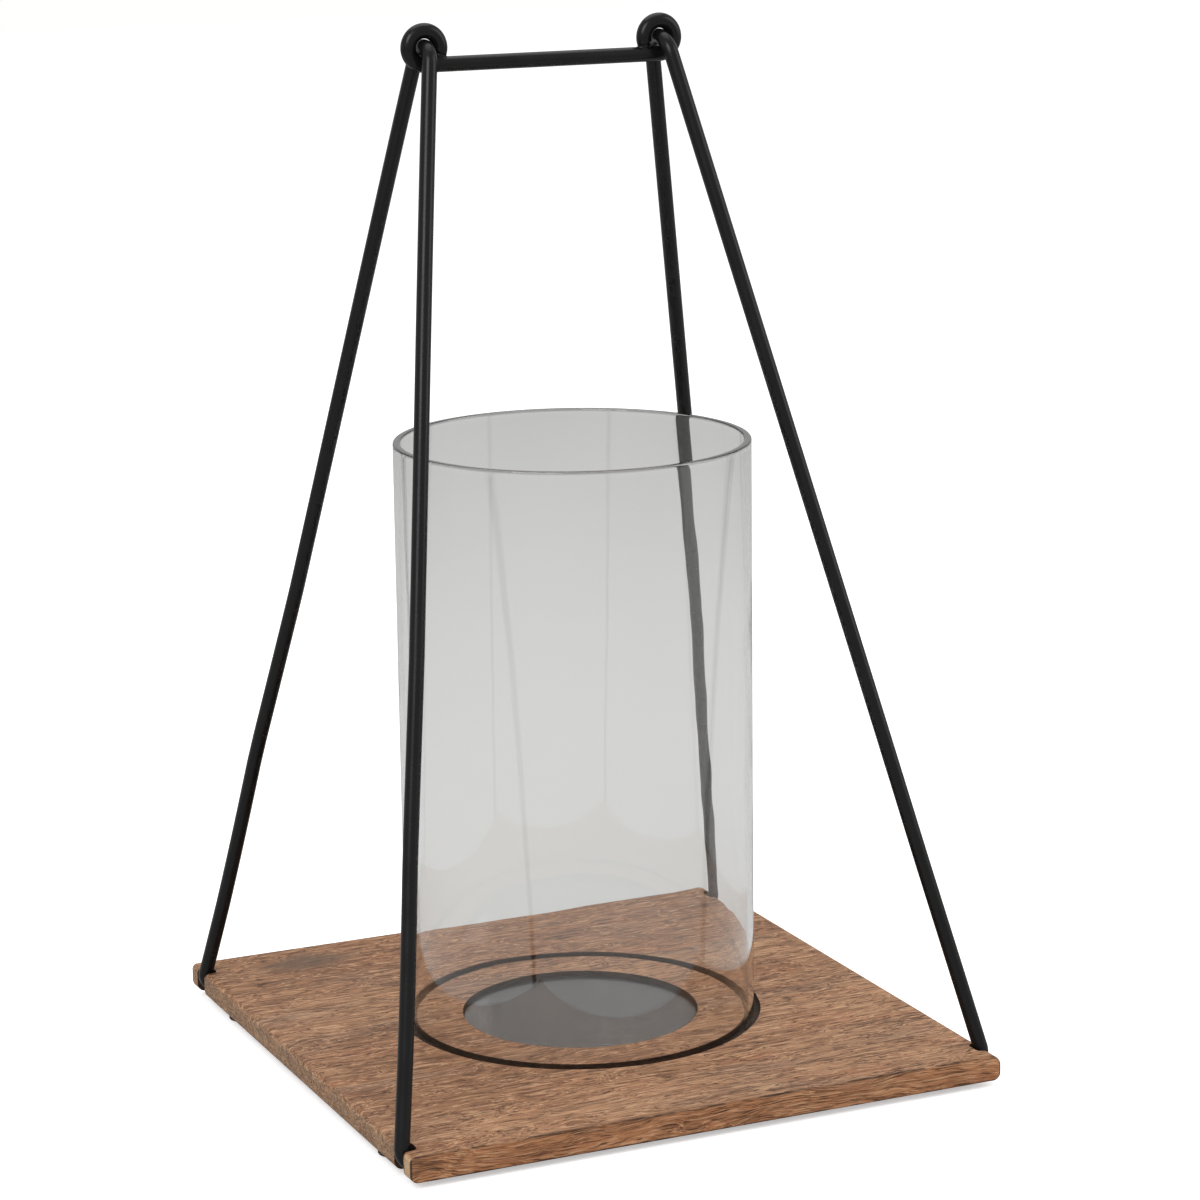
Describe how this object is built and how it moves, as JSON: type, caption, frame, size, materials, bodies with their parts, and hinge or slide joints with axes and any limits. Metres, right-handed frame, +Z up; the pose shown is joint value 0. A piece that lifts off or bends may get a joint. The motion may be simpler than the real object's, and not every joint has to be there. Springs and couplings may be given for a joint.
{
  "type": "candle lantern",
  "caption": "Candle lantern: square wooden base, open glass cylinder seated in a ring groove, and bent-rod side frames meeting at a carrying bar with curled eyes.",
  "frame": {"origin": "on the table under the middle of the board, at the feet's lowest face", "axes": "+Z up, +X along the handle bar, +Y towards the back"},
  "size_m": [0.2664, 0.267, 0.4411],
  "materials": {
    "stained_wood": "satin oil over open grain",
    "dark_plate": "dull dark plate",
    "clear_glass": "clear, polished rim",
    "black_coat": "satin black powder coat",
    "zinc": "bright zinc plate",
    "rubber": "matte"
  },
  "bodies": {
    "base": {"base_board": "stained_wood", "candle_plate": "dark_plate", "rail_strap_left_front": "zinc", "rail_strap_left_back": "zinc", "rail_strap_right_front": "zinc", "rail_strap_right_back": "zinc", "strap_screw_left_front_inner": "zinc", "strap_screw_left_front_outer": "zinc", "strap_screw_left_back_inner": "zinc", "strap_screw_left_back_outer": "zinc", "strap_screw_right_front_inner": "zinc", "strap_screw_right_front_outer": "zinc", "strap_screw_right_back_inner": "zinc", "strap_screw_right_back_outer": "zinc", "foot_left_front": "rubber", "foot_left_back": "rubber", "foot_right_front": "rubber", "foot_right_back": "rubber"},
    "glass": {"glass_cylinder": "clear_glass"},
    "left_frame": {"left_frame": "black_coat"},
    "right_frame": {"right_frame": "black_coat"},
    "handle": {"handle_bar": "black_coat"}
  },
  "joints": [
    {"name": "glass_lift", "type": "slide", "parent": "base", "child": "glass", "axis": [0, 0, 1], "range_m": [0, 0.035]},
    {"name": "left_frame_lean", "type": "hinge", "parent": "base", "child": "left_frame", "pos_m": [-0.113, 0, 0.00637], "axis": [0, 1, 0], "range_deg": [0, 2.8]},
    {"name": "right_frame_lean", "type": "hinge", "parent": "base", "child": "right_frame", "pos_m": [0.113, 0, 0.00637], "axis": [0, 1, 0], "range_deg": [0, 2.8]},
    {"name": "handle_tilt", "type": "hinge", "parent": "left_frame", "child": "handle", "pos_m": [-0.063, 0, 0.4311], "axis": [0, 1, 0], "range_deg": [-6.05, 0]}
  ],
  "couplings": [
    {"joint": "right_frame_lean", "follows": "left_frame_lean", "ratio": 0.9852},
    {"joint": "handle_tilt", "follows": "left_frame_lean", "ratio": -2.1454}
  ]
}
